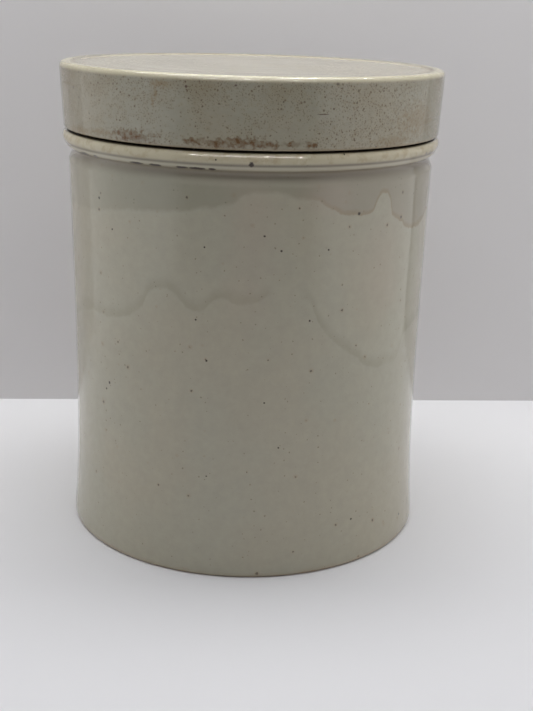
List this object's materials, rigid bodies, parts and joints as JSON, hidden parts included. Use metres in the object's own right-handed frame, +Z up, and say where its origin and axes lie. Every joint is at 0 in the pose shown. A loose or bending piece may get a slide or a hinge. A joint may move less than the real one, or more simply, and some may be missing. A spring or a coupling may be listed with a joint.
{
  "type": "lidded stoneware jar",
  "caption": "Round lidded stoneware jar with a rolled bead under its capping lid, a slightly waisted side and a speckled grey glaze.",
  "frame": {"origin": "middle of the foot, in the plane that the jar stands on", "axes": "+Z up along the jar's axis; X and Y are free, as the jar is round, with -Y towards the side shown"},
  "size_m": [0.108, 0.108, 0.134],
  "materials": {
    "jar_glaze": "semi-gloss speckled glaze",
    "lid_glaze": "semi-gloss glaze with rust-brown specks"
  },
  "bodies": {
    "root": {"jar": "jar_glaze", "lid": "lid_glaze"}
  },
  "joints": []
}
